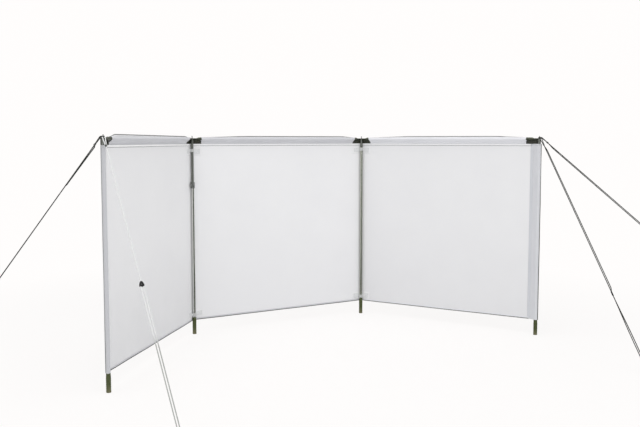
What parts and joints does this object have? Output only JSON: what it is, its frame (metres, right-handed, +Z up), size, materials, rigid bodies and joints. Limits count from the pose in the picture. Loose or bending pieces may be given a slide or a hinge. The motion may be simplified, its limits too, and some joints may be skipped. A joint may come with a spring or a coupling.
{
  "type": "beach windbreak",
  "caption": "Free-standing beach windbreak: flat bays of light cloth folded at telescopic uprights, with top rails, guy lines and pegs.",
  "frame": {"origin": "on the ground under the foot of upright 2, the left of the two middle uprights", "axes": "+X along the centre bay from upright 2 to upright 3, +Z up, the screen opens towards -Y"},
  "size_m": [6.0875, 2.605, 1.531],
  "materials": {
    "steel_tube": "zinc-plated, softly reflective",
    "bare_steel": "plated, dull",
    "foot": "moulded, satin",
    "nylon": "moulded, satin",
    "clamp": "moulded, satin",
    "cloth": "fine coated weave",
    "cloth_double": "fine coated weave, doubled",
    "corner_patch": "coated, stiff",
    "webbing": "woven band",
    "cord": "braided",
    "cord_light": "braided",
    "runner": "moulded, satin"
  },
  "bodies": {
    "root": {"corner_patches_centre": "corner_patch", "corner_patches_left": "corner_patch", "corner_patches_right": "corner_patch", "guy_line_left_inner": "cord_light", "guy_line_left_outer": "cord", "guy_line_right_inner": "cord", "guy_line_right_outer": "cord", "panel_centre": "cloth", "panel_left": "cloth", "panel_right": "cloth", "pegs_left": "bare_steel", "pegs_right": "bare_steel", "post_1_lower_tube": "steel_tube", "post_1_upper_tube": "steel_tube", "post_2_clamp": "clamp", "post_2_clamp_screw": "clamp", "post_2_lower_tube": "steel_tube", "post_2_straps": "webbing", "post_2_upper_tube": "steel_tube", "post_3_lower_tube": "steel_tube", "post_3_straps": "webbing", "post_3_upper_tube": "steel_tube", "post_4_lower_tube": "steel_tube", "post_4_upper_tube": "steel_tube", "post_bushes": "nylon", "post_feet": "foot", "post_pocket_left": "cloth_double", "post_pocket_right": "cloth_double", "post_spikes": "bare_steel", "runners_left": "runner", "runners_right": "runner", "top_rail_centre": "steel_tube", "top_rail_left": "steel_tube", "top_rail_right": "steel_tube", "top_sleeve_centre": "cloth_double", "top_sleeve_left": "cloth_double", "top_sleeve_right": "cloth_double"}
  },
  "joints": []
}
